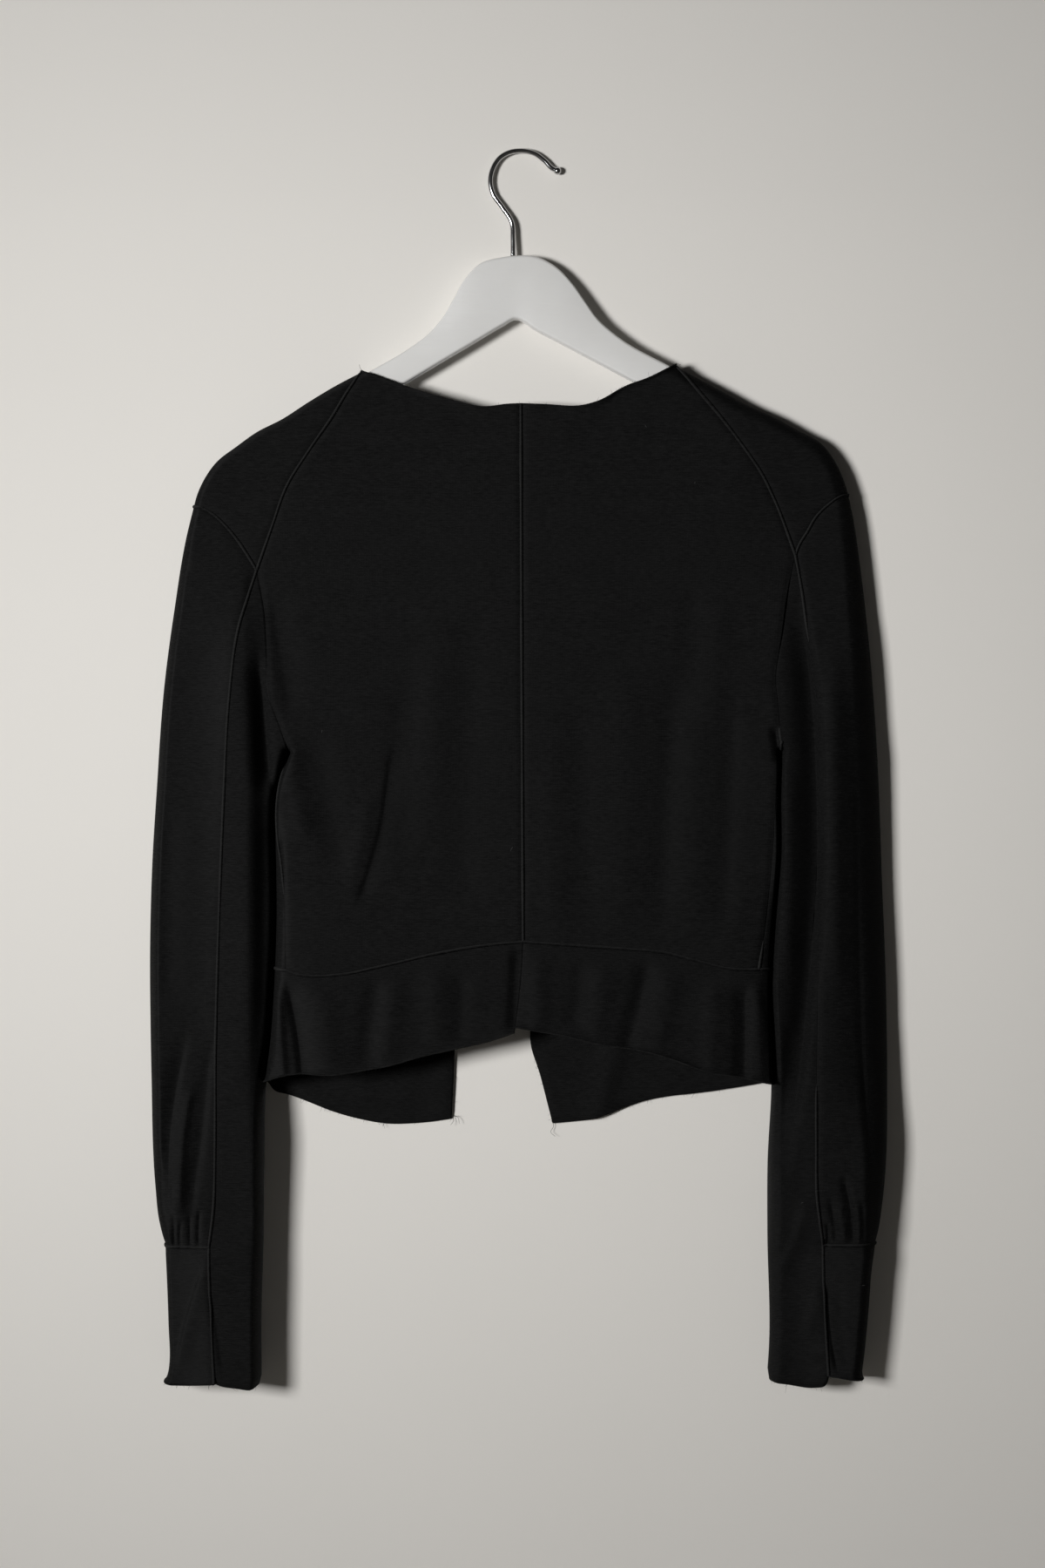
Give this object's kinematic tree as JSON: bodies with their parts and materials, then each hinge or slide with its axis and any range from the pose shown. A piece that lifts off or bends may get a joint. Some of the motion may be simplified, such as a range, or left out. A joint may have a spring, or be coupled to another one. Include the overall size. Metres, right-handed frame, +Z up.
{
  "type": "cardigan on a coat hanger",
  "caption": "Cropped long-sleeved jersey cardigan with raw edges, an uneven open front and gathered cuffs, hung on a white wooden hanger.",
  "frame": {"origin": "inside of the hook's crown, where a rail or peg carries the hanger", "axes": "+Z up; +X along the hanger's arms, to the right seen from the garment's back; -Y out of the garment's back, +Y out of its front"},
  "size_m": [0.5147, 0.0456, 0.8593],
  "materials": {
    "jersey": "matt fine-gauge cotton jersey",
    "hanger_paint": "white satin paint",
    "hook_metal": "bright plated wire"
  },
  "bodies": {
    "root": {"back_panel_left": "jersey", "back_panel_right": "jersey", "front_panel_left": "jersey", "front_panel_right": "jersey", "hem_band_left": "jersey", "hem_band_right": "jersey", "shoulder_cap_left": "jersey", "shoulder_cap_right": "jersey", "sleeve_upper_left": "jersey", "sleeve_upper_right": "jersey", "sleeve_under_left": "jersey", "sleeve_under_right": "jersey", "cuff_left": "jersey", "cuff_right": "jersey", "hanger": "hanger_paint", "hook": "hook_metal"}
  },
  "joints": []
}
